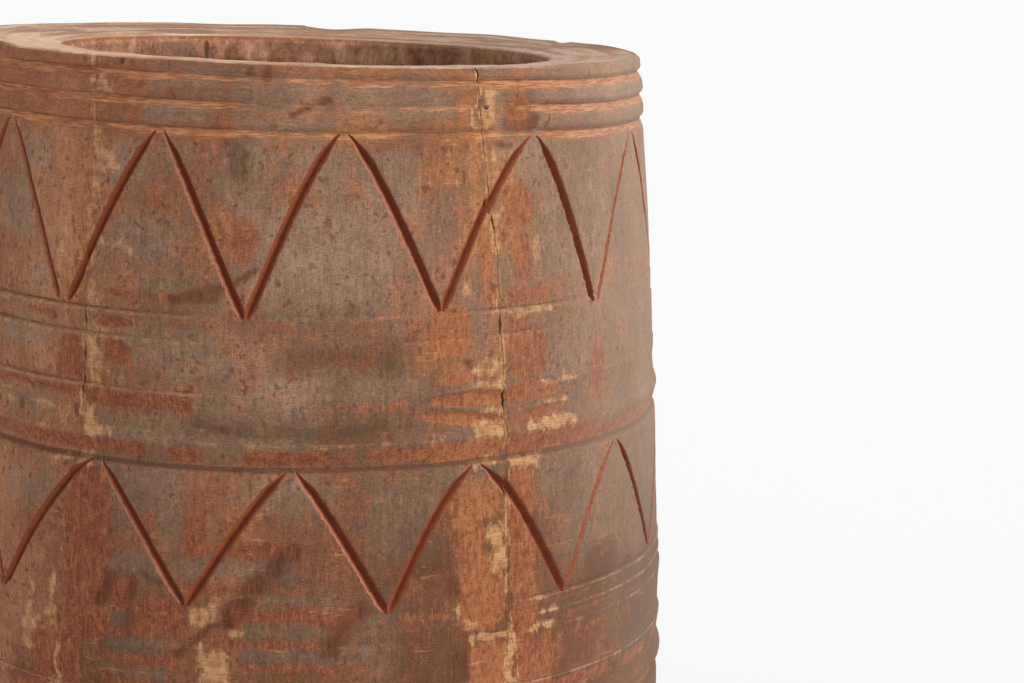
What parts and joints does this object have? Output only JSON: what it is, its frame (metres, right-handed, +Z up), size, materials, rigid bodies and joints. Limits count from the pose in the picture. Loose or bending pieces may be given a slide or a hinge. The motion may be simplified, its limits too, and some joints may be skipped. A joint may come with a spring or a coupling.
{
  "type": "wooden vessel",
  "caption": "Thick-walled round wooden vessel, open at the top, carved with zigzag rows between ridged bands; hewn wall segments rejoined with filler and nails round a pegged base board.",
  "frame": {"origin": "middle of the foot, on the plane that it stands on", "axes": "+Z up along the vessel's axis; -Y towards the pictured side; +X to the right seen from there"},
  "size_m": [0.334, 0.334, 0.4242],
  "materials": {
    "wall_wood": "weathered grey-brown hardwood skin worn through to red-brown, dry and matt",
    "seam_filler": "tan wood filler, sanded, dusty and matt",
    "board_wood": "plain adzed board, matt",
    "peg_wood": "cut peg with end grain showing, matt",
    "nail_iron": "dull rusted iron"
  },
  "bodies": {
    "root": {"wall_segment_front": "wall_wood", "wall_segment_right": "wall_wood", "wall_segment_back_right": "wall_wood", "wall_segment_back": "wall_wood", "wall_segment_back_left": "wall_wood", "wall_segment_left": "wall_wood", "seam_filler_front_left": "seam_filler", "seam_filler_front_right": "seam_filler", "seam_filler_right": "seam_filler", "seam_filler_back_right": "seam_filler", "seam_filler_back": "seam_filler", "seam_filler_left": "seam_filler", "base_board": "board_wood", "base_peg_front": "peg_wood", "base_peg_right": "peg_wood", "base_peg_back_right": "peg_wood", "base_peg_back": "peg_wood", "base_peg_back_left": "peg_wood", "base_peg_left": "peg_wood", "nail_rim_front_left": "nail_iron", "nail_foot_front_left": "nail_iron", "nail_rim_front_right": "nail_iron", "nail_foot_front_right": "nail_iron", "nail_rim_right": "nail_iron", "nail_foot_right": "nail_iron", "nail_rim_back_right": "nail_iron", "nail_foot_back_right": "nail_iron", "nail_rim_back": "nail_iron", "nail_foot_back": "nail_iron", "nail_rim_left": "nail_iron", "nail_foot_left": "nail_iron"}
  },
  "joints": []
}
